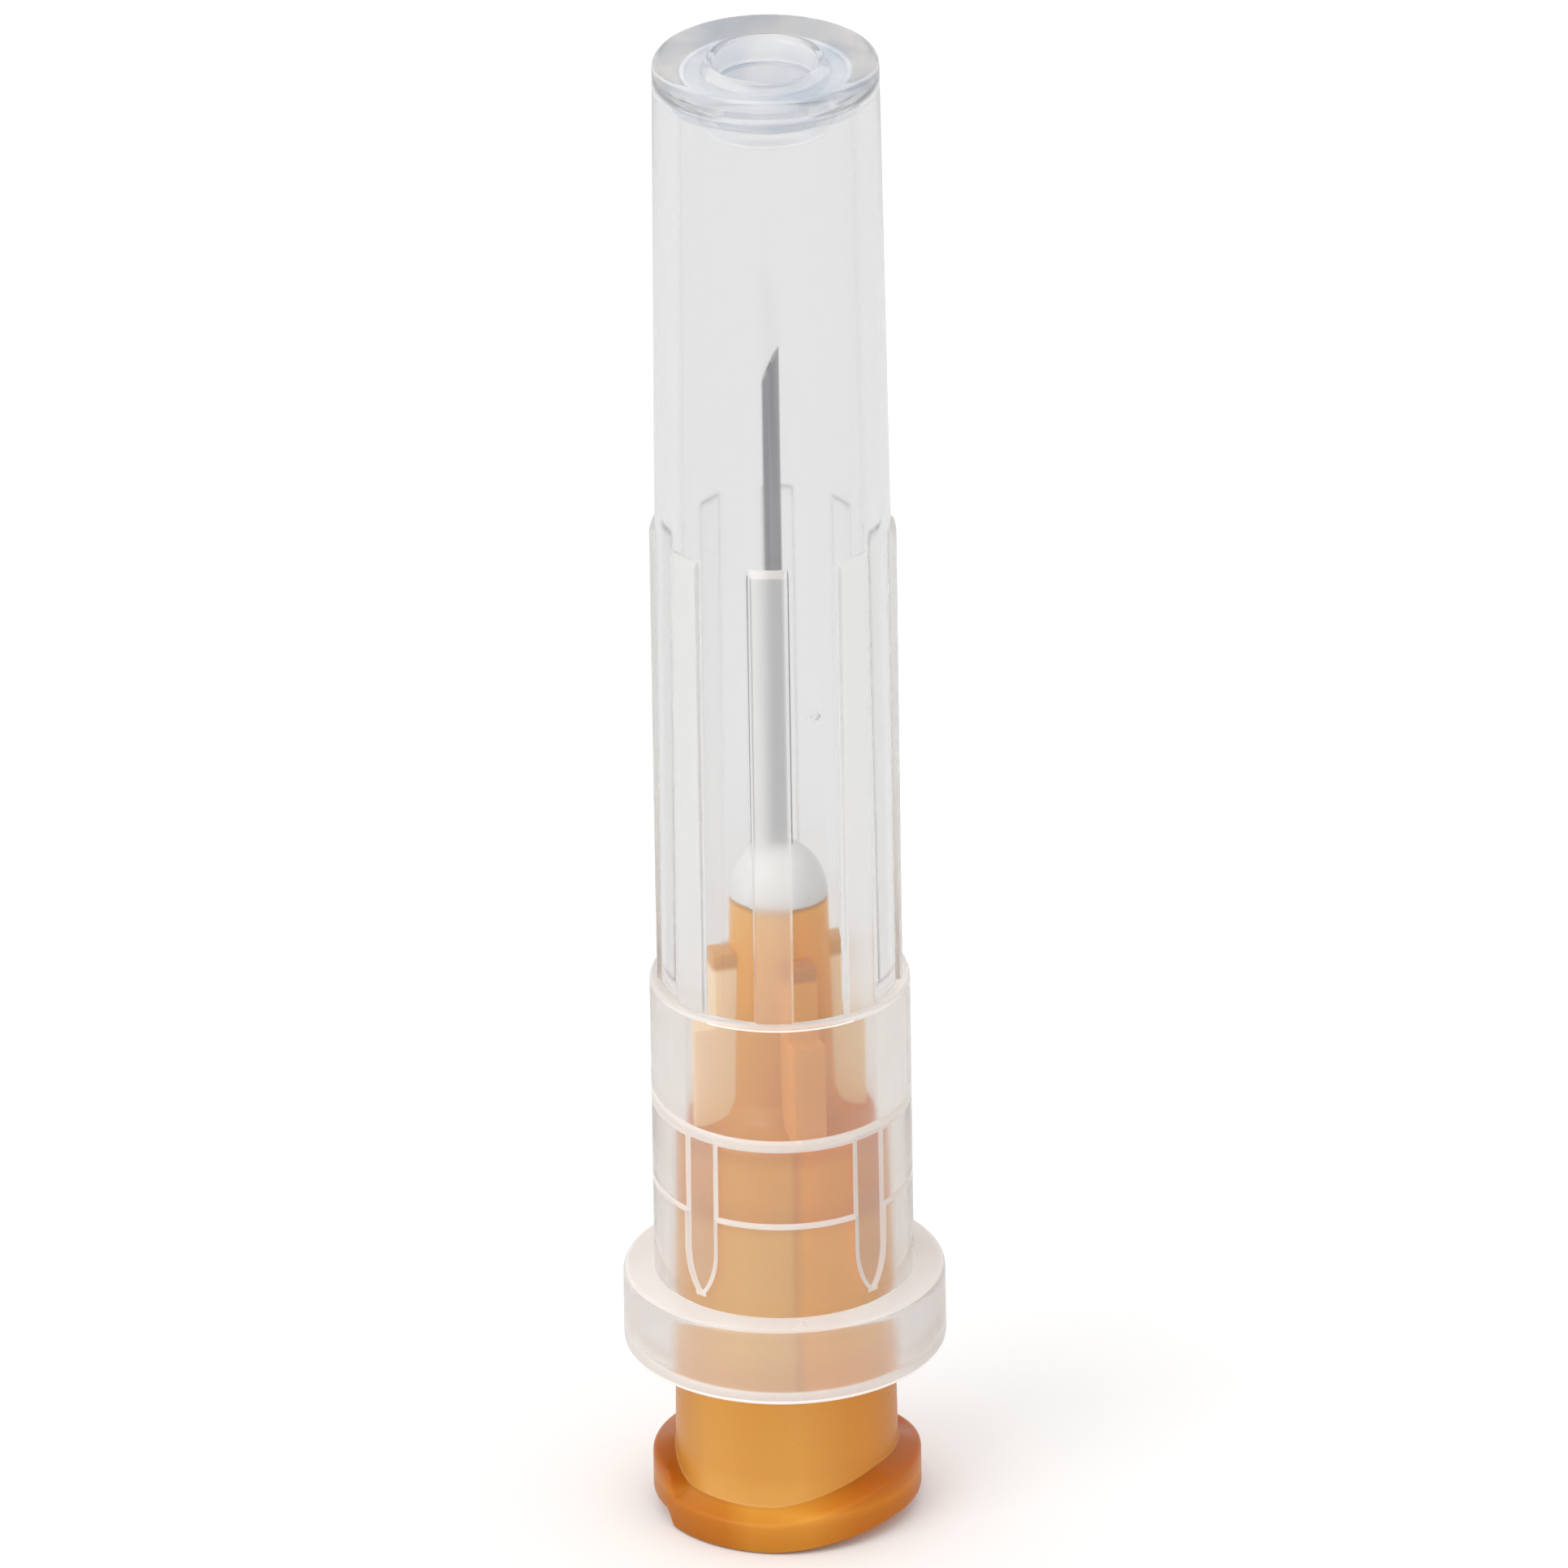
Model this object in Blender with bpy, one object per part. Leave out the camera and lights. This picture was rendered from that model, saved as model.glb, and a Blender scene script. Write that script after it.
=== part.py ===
"""A hypodermic needle in its clear sheath, standing on the open end of its hub.

A ground steel cannula is bonded with a bead of adhesive into a moulded hub with
a female luer socket and two helical lugs. A clear ribbed sheath is pushed over
the hub from above and pulls straight off.

Metres, +Z towards the tip, origin in the middle of the hub's open end. The
front is -Y, and turns are measured from +X towards +Y.
"""

import math

import bmesh
import bpy
from mathutils import Matrix, Vector

MM = 0.001

# Running and bonded fits
BOND_GAP = 0.02 * MM
GRIP_CLEARANCE = 0.03 * MM
SEAT_GAP = 0.15 * MM
FIN_CLEARANCE = 0.17 * MM

# Cannula, 25 gauge
CANNULA_OD = 0.50 * MM
CANNULA_ID = 0.26 * MM
CANNULA_EXPOSED = 15.63 * MM
BEVEL_LENGTH = 1.12 * MM
LANCET_ANGLE = math.radians(38)
LANCET_TURN = math.radians(35)

# Hub socket: the six per cent luer taper, then a funnel up to the cannula
SOCKET_MOUTH_D = 4.30 * MM
SOCKET_TAPER = 0.06
SOCKET_DEPTH = 10.0 * MM
SOCKET_CHAMFER = 0.10 * MM
FUNNEL_LENGTH = 2.0 * MM
FUNNEL_END_R = 0.40 * MM

# Hub outside, from its open end to the top of the nose
SKIRT_WALL = 1.11 * MM
SKIRT_DRAFT = 0.16 * MM
SKIRT_LENGTH = 12.74 * MM
RIM_CHAMFER = 0.12 * MM
SHOULDER_ROUND = 0.25 * MM
NOSE_LENGTH = 6.97 * MM
NOSE_TOP_R = 1.40 * MM
NOSE_DRAFT = 0.14 * MM
NOSE_FLARE = 0.75 * MM
NOSE_EDGE = 0.08 * MM

# Adhesive well in the top of the nose, and the bead that stands on it
WELL_DEPTH = 2.0 * MM
WELL_MOUTH_R = 0.95 * MM
WELL_FLOOR_R = 0.50 * MM
BEAD_HEIGHT = 1.64 * MM

# Four fins between the nose and the shoulder
FIN_COUNT = 4
FIN_TURN = math.radians(17)
FIN_THICKNESS = 0.90 * MM
FIN_FOOT_HEIGHT = 3.1 * MM
FIN_HEIGHT = 5.40 * MM
FIN_STEP = 0.50 * MM
FIN_SUNK = 0.5 * MM

# Two helical lugs round the open end, each a half turn long
LUG_COUNT = 2
LUG_REACH = 0.64 * MM
LUG_START = math.radians(212)
LUG_LAND = math.radians(50)
LUG_RAMP = math.radians(60)
LUG_STEP = math.radians(6.5)
LUG_LIFT = 0.03 * MM
LUG_UNDER_RISE = 0.42 * MM
LUG_TOP_RISE = 0.72 * MM
LUG_TIP_HEIGHT = 0.90 * MM
LUG_ROOT_RISE = 0.27 * MM
LUG_EDGE = 0.10 * MM
LUG_SUNK = 0.30 * MM

# Sheath inside: a grip bore, a ledge over the hub's shoulder and a long draft
CAP_SOCKET_DEPTH = 7.68 * MM
CAP_RING_DEPTH = 5.17 * MM
CAP_MOUTH_CHAMFER = 0.12 * MM
LOWER_BORE_GAP = 0.12 * MM
UPPER_BORE_GAP = 0.065 * MM
CAP_LEDGE = 0.48 * MM
CAP_BORE_DRAFT = 0.24 * MM
BORE_CORNER = 0.30 * MM

# Sheath outside: flange at the mouth, collar, then the long body
CAP_LENGTH = 40.61 * MM
FLANGE_HEIGHT = 2.41 * MM
FLANGE_WIDTH = 0.91 * MM
FLANGE_EDGE = 0.22 * MM
COLLAR_WALL = 0.45 * MM
COLLAR_HEIGHT = 9.35 * MM
COLLAR_EDGE = 0.30 * MM
BODY_WALL = 0.73 * MM
RIBBED_DRAFT = 0.056 * MM
PLAIN_DRAFT = 0.147 * MM
BODY_EDGE = 0.30 * MM
END_WALL = 0.90 * MM

# Dished gate well in the closed end, and the boss that hangs inside under it
GATE_MOUTH_R = 1.63 * MM
GATE_RIM_R = 1.40 * MM
GATE_DISH = 0.45 * MM
GATE_FLOOR_R = 1.30 * MM
GATE_DEPTH = 1.60 * MM
GATE_FLOOR = 0.40 * MM
BOSS_WALL = 0.52 * MM
BOSS_EDGE = 0.15 * MM

# Eight ribs up the outside of the sheath
RIB_COUNT = 8
RIB_TURN = math.radians(-3.0)
RIB_WIDTH = 1.10 * MM
RIB_PROUD = 0.16 * MM
RIB_LENGTH = 14.34 * MM
RIB_RUNOUT = 0.40 * MM
RIB_END_DIP = 0.075 * MM
RIB_SUNK = 0.30 * MM

# Four pointed grip ribs inside the sheath's mouth
GRIP_COUNT = 4
GRIP_TURN = math.radians(46.5)
GRIP_WIDTH = 1.00 * MM
GRIP_LENGTH = 5.00 * MM
GRIP_POINT = 1.45 * MM
GRIP_NECK_WIDTH = 0.62 * MM
GRIP_NECK_HEIGHT = 0.65 * MM
GRIP_SUNK = 0.15 * MM
GRIP_BLANK = 1.0 * MM

# Facets of the round pieces
ROUND_SEGMENTS = 64
CANNULA_SEGMENTS = 24
RIB_STEPS = 4
FACET_APART = math.radians(1)
SHARP_ANGLE = math.radians(30)
WELD = 0.001 * MM
FRONT = math.radians(270)

# Hub stations and radii
SHOULDER_Z = SKIRT_LENGTH
NOSE_TOP_Z = SHOULDER_Z + NOSE_LENGTH
FUNNEL_TOP_Z = SOCKET_DEPTH + FUNNEL_LENGTH
SOCKET_MOUTH_R = SOCKET_MOUTH_D / 2
SKIRT_FOOT_R = SOCKET_MOUTH_R + SKIRT_WALL
LUG_TIP_R = SKIRT_FOOT_R + LUG_REACH


def skirt_radius(z):
    """Outer radius of the drafted hub skirt at height z."""
    return SKIRT_FOOT_R - SKIRT_DRAFT * z / SKIRT_LENGTH


# Cannula and bead stations
CANNULA_R = CANNULA_OD / 2
PASSAGE_R = CANNULA_R + BOND_GAP
CANNULA_FOOT_Z = FUNNEL_TOP_Z
TIP_Z = NOSE_TOP_Z + BEAD_HEIGHT + CANNULA_EXPOSED

# Sheath stations and radii
LEDGE_Z = SHOULDER_Z + SEAT_GAP
CAP_MOUTH_Z = LEDGE_Z - CAP_SOCKET_DEPTH
RING_Z = CAP_MOUTH_Z + CAP_RING_DEPTH
FLANGE_TOP_Z = CAP_MOUTH_Z + FLANGE_HEIGHT
COLLAR_TOP_Z = FLANGE_TOP_Z + COLLAR_HEIGHT
CAP_TOP_Z = CAP_MOUTH_Z + CAP_LENGTH
CEILING_Z = CAP_TOP_Z - END_WALL
LOWER_BORE_R = skirt_radius(CAP_MOUTH_Z) + LOWER_BORE_GAP
UPPER_BORE_R = skirt_radius(RING_Z) + UPPER_BORE_GAP
BODY_BORE_R = UPPER_BORE_R - CAP_LEDGE
BORE_TOP_R = BODY_BORE_R - CAP_BORE_DRAFT
COLLAR_R = LOWER_BORE_R + COLLAR_WALL
FLANGE_R = COLLAR_R + FLANGE_WIDTH
BODY_FOOT_R = BODY_BORE_R + BODY_WALL
RIB_TOP_Z = COLLAR_TOP_Z + RIB_LENGTH
BODY_RIB_R = BODY_FOOT_R - RIBBED_DRAFT
BODY_TOP_R = BODY_RIB_R - PLAIN_DRAFT
RIB_R = BODY_RIB_R + RIB_PROUD
BOSS_R = GATE_FLOOR_R + BOSS_WALL
BOSS_FOOT_Z = CAP_TOP_Z - GATE_DEPTH - GATE_FLOOR


def bore_radius(z):
    """Inner radius of the sheath above its ledge."""
    return BODY_BORE_R - CAP_BORE_DRAFT * (z - LEDGE_Z) / (CEILING_Z - LEDGE_Z)


def oval(centre, radii, start, end, steps):
    """Points (r, z) along an oval arc, its angles in degrees from +r towards +z."""
    points = []
    for step in range(steps + 1):
        angle = math.radians(start + (end - start) * step / steps)
        across = centre[0] + radii[0] * math.cos(angle)
        up = centre[1] + radii[1] * math.sin(angle)
        points.append((across, up))
    return points


def arc(centre, radius, start, end, steps):
    """Points (r, z) along a round arc."""
    return oval(centre, (radius, radius), start, end, steps)


def material(name, colour, roughness, metallic=0.0, alpha=1.0):
    made = bpy.data.materials.new(name)
    made.use_nodes = True
    shader = made.node_tree.nodes["Principled BSDF"]
    shader.inputs["Base Color"].default_value = (*colour, 1.0)
    shader.inputs["Roughness"].default_value = roughness
    shader.inputs["Metallic"].default_value = metallic
    shader.inputs["Alpha"].default_value = alpha
    made.diffuse_color = (*colour, alpha)
    return made


def new_object(name, shape, finish=None, parent=None):
    """Turns a bmesh into a named object, round faces smooth and edges sharp."""
    bmesh.ops.recalc_face_normals(shape, faces=shape.faces)
    data = bpy.data.meshes.new(name)
    shape.to_mesh(data)
    shape.free()
    data.shade_smooth()
    data.set_sharp_from_angle(angle=SHARP_ANGLE)
    made = bpy.data.objects.new(name, data)
    bpy.context.scene.collection.objects.link(made)
    if finish:
        data.materials.append(finish)
    made.parent = parent
    return made


def revolved(profile, ring, base_z, segments):
    """Spins a profile of (r, z) points about Z, with base_z as the new z = 0."""
    shape = bmesh.new()
    points = [shape.verts.new((r, 0, z - base_z)) for r, z in profile]
    edges = [shape.edges.new(pair) for pair in zip(points, points[1:])]
    if ring:
        edges.append(shape.edges.new((points[-1], points[0])))
    bmesh.ops.spin(
        shape,
        geom=points + edges,
        cent=(0, 0, 0),
        axis=(0, 0, 1),
        angle=math.tau,
        steps=segments,
        use_merge=True,
    )
    bmesh.ops.remove_doubles(shape, verts=shape.verts, dist=WELD)
    return shape


def extruded(outline, vector):
    """Closed prism from an outline of 3-D points pushed along a vector."""
    shape = bmesh.new()
    face = shape.faces.new([shape.verts.new(point) for point in outline])
    pushed = bmesh.ops.extrude_face_region(shape, geom=[face])
    moved = [item for item in pushed["geom"] if isinstance(item, bmesh.types.BMVert)]
    bmesh.ops.translate(shape, verts=moved, vec=vector)
    return shape


def ring_of(shape, count, first_turn):
    """Copies a shape round Z so that count of them stand evenly spaced."""
    whole = list(shape.verts) + list(shape.edges) + list(shape.faces)
    bmesh.ops.rotate(
        shape, verts=shape.verts, cent=(0, 0, 0), matrix=Matrix.Rotation(first_turn, 3, "Z")
    )
    for number in range(1, count):
        copied = bmesh.ops.duplicate(shape, geom=whole)
        verts = [item for item in copied["geom"] if isinstance(item, bmesh.types.BMVert)]
        turn = Matrix.Rotation(math.tau * number / count, 3, "Z")
        bmesh.ops.rotate(shape, verts=verts, cent=(0, 0, 0), matrix=turn)
    return shape


def combine(target, helper, operation):
    """Joins or cuts the target with a helper that isn't part of the model."""
    helper.hide_render = True
    helper.display_type = "WIRE"
    step = target.modifiers.new(helper.name, "BOOLEAN")
    step.operation = operation
    step.solver = "EXACT"
    step.object = helper


def hub_body():
    """Skirt with its luer socket, shoulder, drafted nose and adhesive well."""
    socket_top_r = SOCKET_MOUTH_R - SOCKET_TAPER * SOCKET_DEPTH / 2
    nose_foot_r = NOSE_TOP_R + NOSE_DRAFT
    shoulder_r = skirt_radius(SHOULDER_Z)
    profile = [
        (SOCKET_MOUTH_R + SOCKET_CHAMFER, 0),
        (SOCKET_MOUTH_R - SOCKET_TAPER * SOCKET_CHAMFER / 2, SOCKET_CHAMFER),
        (socket_top_r, SOCKET_DEPTH),
        (FUNNEL_END_R, FUNNEL_TOP_Z - FUNNEL_END_R),
        (PASSAGE_R, FUNNEL_TOP_Z),
        (PASSAGE_R, NOSE_TOP_Z - WELL_DEPTH),
        (WELL_FLOOR_R, NOSE_TOP_Z - WELL_DEPTH),
        (WELL_MOUTH_R, NOSE_TOP_Z),
        (NOSE_TOP_R - NOSE_EDGE, NOSE_TOP_Z),
        (NOSE_TOP_R, NOSE_TOP_Z - NOSE_EDGE),
    ]
    flare_centre = (nose_foot_r + NOSE_FLARE, SHOULDER_Z + NOSE_FLARE)
    profile += arc(flare_centre, NOSE_FLARE, 180, 270, 6)
    round_centre = (shoulder_r - SHOULDER_ROUND, SHOULDER_Z - SHOULDER_ROUND)
    profile += arc(round_centre, SHOULDER_ROUND, 90, 0, 4)
    profile += [
        (skirt_radius(RIM_CHAMFER), RIM_CHAMFER),
        (SKIRT_FOOT_R - RIM_CHAMFER, 0),
    ]
    return revolved(profile, True, 0, ROUND_SEGMENTS)


def hub_fins():
    """Stepped fins that brace the nose, sunk into the shoulder and the nose."""
    root_r = (WELL_MOUTH_R + NOSE_TOP_R) / 2
    step_z = SHOULDER_Z + FIN_FOOT_HEIGHT
    foot_r = bore_radius(step_z) - FIN_CLEARANCE
    outline = [
        (root_r, SHOULDER_Z - FIN_SUNK),
        (foot_r, SHOULDER_Z - FIN_SUNK),
        (foot_r, step_z),
        (foot_r - FIN_STEP, step_z),
        (foot_r - FIN_STEP, SHOULDER_Z + FIN_HEIGHT),
        (root_r, SHOULDER_Z + FIN_HEIGHT),
    ]
    side = [Vector((r, -FIN_THICKNESS / 2, z)) for r, z in outline]
    fin = extruded(side, Vector((0, FIN_THICKNESS, 0)))
    return ring_of(fin, FIN_COUNT, FIN_TURN)


def lug_rise(turn):
    """Share of its full rise that a lug has at this turn past its start."""
    span = math.tau / LUG_COUNT
    past = turn % span
    if past > span - LUG_STEP:
        return (span - past) / LUG_STEP
    return min(max((past - LUG_LAND) / LUG_RAMP, 0), 1)


def hub_lugs():
    """A ring of helical lugs: each climbs along a ramp and ends in a short slope."""
    span = math.tau / LUG_COUNT
    stops = [0, LUG_LAND, LUG_LAND + LUG_RAMP, span - LUG_STEP]
    facets = ROUND_SEGMENTS // LUG_COUNT
    even = [span * step / facets for step in range(1, facets)]
    stops += [turn for turn in even if all(abs(turn - stop) > FACET_APART for stop in stops)]
    turns = [span * lug + stop for lug in range(LUG_COUNT) for stop in sorted(stops)]
    root_r = SKIRT_FOOT_R - LUG_SUNK
    shape = bmesh.new()
    sections = []
    for turn in turns:
        rise = lug_rise(turn)
        under = LUG_LIFT + LUG_UNDER_RISE * rise
        tip_top = LUG_LIFT + LUG_TIP_HEIGHT + LUG_TOP_RISE * rise
        root_top = tip_top + LUG_ROOT_RISE * (LUG_REACH + LUG_SUNK) / LUG_REACH
        section = [
            (root_r, under),
            (LUG_TIP_R - LUG_EDGE, under),
            (LUG_TIP_R, under + LUG_EDGE),
            (LUG_TIP_R, tip_top - LUG_EDGE),
            (LUG_TIP_R - LUG_EDGE, tip_top),
            (root_r, root_top),
        ]
        angle = LUG_START + turn
        sections.append(
            [shape.verts.new((r * math.cos(angle), r * math.sin(angle), z)) for r, z in section]
        )
    for this, after in zip(sections, sections[1:] + sections[:1]):
        for point in range(len(this)):
            following = (point + 1) % len(this)
            shape.faces.new((this[point], after[point], after[following], this[following]))
    bmesh.ops.triangulate(shape, faces=shape.faces)
    return shape


def make_hub():
    finish = material("hub_amber_polypropylene", (0.72, 0.33, 0.07), 0.32)
    hub = new_object("hub", hub_body(), finish)
    combine(hub, new_object("hub_fins", hub_fins(), parent=hub), "UNION")
    combine(hub, new_object("hub_lugs", hub_lugs(), parent=hub), "UNION")
    return hub


def ground(shape, through, normal):
    """Grinds away what lies beyond a plane and closes the flat it leaves."""
    geometry = list(shape.verts) + list(shape.edges) + list(shape.faces)
    bmesh.ops.bisect_plane(
        shape, geom=geometry, dist=WELD / 10, plane_co=through, plane_no=normal, clear_outer=True
    )
    bmesh.ops.holes_fill(shape, edges=shape.edges)


def make_cannula(hub):
    """Steel tube with a ground bevel that opens towards -X and a lancet point."""
    length = TIP_Z - CANNULA_FOOT_Z
    profile = [(0, 0), (CANNULA_R, 0), (CANNULA_R, length), (0, length)]
    rod = revolved(profile, False, 0, CANNULA_SEGMENTS)
    tip = Vector((CANNULA_R, 0, length))
    bevel_angle = math.atan2(CANNULA_OD, BEVEL_LENGTH)
    ground(rod, tip, Vector((-math.cos(bevel_angle), 0, math.sin(bevel_angle))))
    for side in (-1, 1):
        facet = Vector((-math.cos(LANCET_ANGLE), 0, math.sin(LANCET_ANGLE)))
        ground(rod, tip, Matrix.Rotation(side * LANCET_TURN, 3, "Z") @ facet)
    finish = material("cannula_steel", (0.46, 0.46, 0.47), 0.30, 1.0)
    cannula = new_object("cannula", rod, finish, hub)
    cannula.location.z = CANNULA_FOOT_Z
    past = CANNULA_OD
    bore_r = CANNULA_ID / 2
    hole = [(0, -past), (bore_r, -past), (bore_r, length + past), (0, length + past)]
    drill = revolved(hole, False, 0, CANNULA_SEGMENTS)
    combine(cannula, new_object("cannula_bore", drill, parent=cannula), "DIFFERENCE")
    return cannula


def make_adhesive(hub):
    """White bead that fills the well round the cannula and domes over the nose."""
    well_r = WELL_MOUTH_R - BOND_GAP
    floor_r = WELL_FLOOR_R - BOND_GAP
    foot_z = NOSE_TOP_Z + BOND_GAP
    top_angle = math.acos(PASSAGE_R / NOSE_TOP_R)
    full_height = (BEAD_HEIGHT - BOND_GAP) / math.sin(top_angle)
    profile = [
        (PASSAGE_R, NOSE_TOP_Z - WELL_DEPTH + BOND_GAP),
        (floor_r, NOSE_TOP_Z - WELL_DEPTH + BOND_GAP),
        (well_r, foot_z),
    ]
    profile += oval((0, foot_z), (NOSE_TOP_R, full_height), 0, math.degrees(top_angle), 10)
    shape = revolved(profile, True, NOSE_TOP_Z, ROUND_SEGMENTS // 2)
    finish = material("adhesive_white", (0.83, 0.83, 0.80), 0.35)
    bead = new_object("adhesive", shape, finish, hub)
    bead.location.z = NOSE_TOP_Z
    return bead


def cap_shell():
    """The sheath as one turned wall, from the gate well round to the boss."""
    gate_z = CAP_TOP_Z - GATE_DEPTH
    profile = [(0, gate_z), (GATE_FLOOR_R, gate_z)]
    profile += oval((GATE_RIM_R, CAP_TOP_Z), (GATE_MOUTH_R - GATE_RIM_R, GATE_DISH), -90, 0, 4)
    profile += arc((BODY_TOP_R - BODY_EDGE, CAP_TOP_Z - BODY_EDGE), BODY_EDGE, 90, 0, 5)
    profile += [(BODY_RIB_R, RIB_TOP_Z), (BODY_FOOT_R, COLLAR_TOP_Z)]
    profile += arc((COLLAR_R - COLLAR_EDGE, COLLAR_TOP_Z - COLLAR_EDGE), COLLAR_EDGE, 90, 0, 4)
    profile.append((COLLAR_R, FLANGE_TOP_Z))
    profile += arc((FLANGE_R - FLANGE_EDGE, FLANGE_TOP_Z - FLANGE_EDGE), FLANGE_EDGE, 90, 0, 3)
    profile += arc((FLANGE_R - FLANGE_EDGE, CAP_MOUTH_Z + FLANGE_EDGE), FLANGE_EDGE, 0, -90, 3)
    profile += [
        (LOWER_BORE_R + CAP_MOUTH_CHAMFER, CAP_MOUTH_Z),
        (LOWER_BORE_R, CAP_MOUTH_Z + CAP_MOUTH_CHAMFER),
        (LOWER_BORE_R, RING_Z),
        (UPPER_BORE_R, RING_Z),
        (UPPER_BORE_R, LEDGE_Z),
        (BODY_BORE_R, LEDGE_Z),
    ]
    profile += arc((BORE_TOP_R - BORE_CORNER, CEILING_Z - BORE_CORNER), BORE_CORNER, 0, 90, 4)
    profile.append((BOSS_R, CEILING_Z))
    profile += arc((BOSS_R - BOSS_EDGE, BOSS_FOOT_Z + BOSS_EDGE), BOSS_EDGE, 0, -90, 3)
    profile.append((0, BOSS_FOOT_Z))
    return revolved(profile, False, CAP_MOUTH_Z, ROUND_SEGMENTS)


def cap_ribs():
    """Low outer ribs, parallel to the axis and rounded off at their tops."""
    foot_z = COLLAR_TOP_Z - COLLAR_EDGE
    root_r = BODY_RIB_R - RIB_SUNK
    end_r = BODY_RIB_R - RIB_END_DIP
    profile = [(root_r, foot_z), (RIB_R, foot_z)]
    profile += oval((end_r, RIB_TOP_Z - RIB_RUNOUT), (RIB_R - end_r, RIB_RUNOUT), 0, 90, 4)
    profile.append((root_r, RIB_TOP_Z))
    sweep = RIB_WIDTH / RIB_R
    shape = bmesh.new()
    points = [shape.verts.new((r, 0, z - CAP_MOUTH_Z)) for r, z in profile]
    face = shape.faces.new(points)
    around = {"cent": (0, 0, 0), "axis": (0, 0, 1)}
    bmesh.ops.spin(shape, geom=[face], angle=sweep, steps=RIB_STEPS, **around)
    bmesh.ops.remove_doubles(shape, verts=shape.verts, dist=WELD)
    return ring_of(shape, RIB_COUNT, FRONT + RIB_TURN - sweep / 2)


def cap_grips():
    """Pointed ribs inside the mouth that follow the hub's skirt with a clearance."""
    foot_z = LEDGE_Z - GRIP_LENGTH
    half_leaf = [
        (GRIP_WIDTH / 2, LEDGE_Z + GRIP_SUNK),
        (GRIP_WIDTH / 2, foot_z + GRIP_POINT),
        (GRIP_NECK_WIDTH / 2, foot_z + GRIP_NECK_HEIGHT),
    ]
    other_half = [(-y, z) for y, z in reversed(half_leaf)]
    back_r = LOWER_BORE_R + GRIP_SUNK
    back = [
        Vector((back_r, y, z - CAP_MOUTH_Z)) for y, z in half_leaf + [(0, foot_z)] + other_half
    ]
    shape = extruded(back, Vector((-GRIP_BLANK, 0, 0)))
    for vert in shape.verts:
        if vert.co.x < back_r - GRIP_BLANK / 2:
            vert.co.x = skirt_radius(vert.co.z + CAP_MOUTH_Z) + GRIP_CLEARANCE
    return ring_of(shape, GRIP_COUNT, GRIP_TURN)


def make_cap():
    """Clear sheath, held by its own slide along Z, its origin at its mouth."""
    finish = material("sheath_clear_polypropylene", (0.86, 0.87, 0.88), 0.12, alpha=0.35)
    cap = new_object("needle_cap", cap_shell(), finish)
    cap.location.z = CAP_MOUTH_Z
    combine(cap, new_object("cap_outer_ribs", cap_ribs(), parent=cap), "UNION")
    combine(cap, new_object("cap_grip_ribs", cap_grips(), parent=cap), "UNION")
    return cap


def main():
    for thing in list(bpy.data.objects):
        bpy.data.objects.remove(thing)
    hub = make_hub()
    make_cannula(hub)
    make_adhesive(hub)
    make_cap()


main()
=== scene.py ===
"""The looks of a hypodermic needle in its clear sheath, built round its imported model.

Metres, +Z towards the tip. The front of the object is -Y, and turns round the
axis are measured from +X towards +Y.
"""

import math

import bmesh
import bpy
from mathutils import Matrix, Vector


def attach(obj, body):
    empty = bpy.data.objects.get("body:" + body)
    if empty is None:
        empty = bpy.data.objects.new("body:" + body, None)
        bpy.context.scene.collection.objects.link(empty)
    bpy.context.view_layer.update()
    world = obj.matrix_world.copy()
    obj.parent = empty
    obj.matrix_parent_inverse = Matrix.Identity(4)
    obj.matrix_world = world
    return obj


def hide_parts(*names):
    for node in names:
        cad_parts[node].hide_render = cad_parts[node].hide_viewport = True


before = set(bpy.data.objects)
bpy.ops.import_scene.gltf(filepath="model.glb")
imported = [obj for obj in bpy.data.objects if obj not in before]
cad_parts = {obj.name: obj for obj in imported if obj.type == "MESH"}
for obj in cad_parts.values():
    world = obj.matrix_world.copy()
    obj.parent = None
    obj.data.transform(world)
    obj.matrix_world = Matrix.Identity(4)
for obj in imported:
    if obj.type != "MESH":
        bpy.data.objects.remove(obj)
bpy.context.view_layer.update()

mm = 0.001


# The hub: one injection moulding in translucent amber polypropylene. Its open end
# takes a syringe's luer tip, two helical lugs round that end lock it, and four
# stepped fins brace the nose. The wall is thick; a painted glow stands in for the
# light that soaks into it, and its colours carry painted light and shade.
hub_foot_r = 3.26 * mm
hub_draft = 0.16 / 12.74
rim_bevel = 0.12 * mm
covered_z = 5.1 * mm
shoulder_z = 12.74 * mm
nose_top_z = 19.71 * mm
nose_top_r = 1.40 * mm
nose_foot_r = 1.54 * mm
nose_flare = 0.75 * mm
well_mouth_r = 0.95 * mm
well_foot_r = 0.50 * mm
well_foot_z = nose_top_z - 2.0 * mm
passage_r = 0.27 * mm
funnel_top_z = 12.0 * mm
socket_mouth_r = 2.15 * mm
socket_lead_in = 0.10 * mm
socket_floor_z = 10.0 * mm
socket_taper = 0.03

lug_tip_r = 3.90 * mm
lug_under_z = 0.03 * mm
lug_top_z = 0.93 * mm
lug_root_z = 1.20 * mm
lug_under_climb = 0.42 * mm
lug_top_climb = 0.72 * mm
lug_starts = (math.radians(212), math.radians(38))
lug_spans = (math.radians(186), math.radians(174))
lug_land = math.radians(50)
lug_ramp = math.radians(60)
lug_step = math.radians(6.5)
lug_ease = 0.4

fin_count = 4
fin_turn = math.radians(17)
fin_thickness = 0.90 * mm
fin_edge = 0.07 * mm
fin_foot_z = shoulder_z - 0.5 * mm
fin_root_r = 1.20 * mm
fin_foot_r = 2.53 * mm
fin_neck_r = 2.03 * mm
fin_step_z = 15.84 * mm
fin_top_z = 18.14 * mm
painted_amber_glow = (1.0, 0.25, 0.01)


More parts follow.
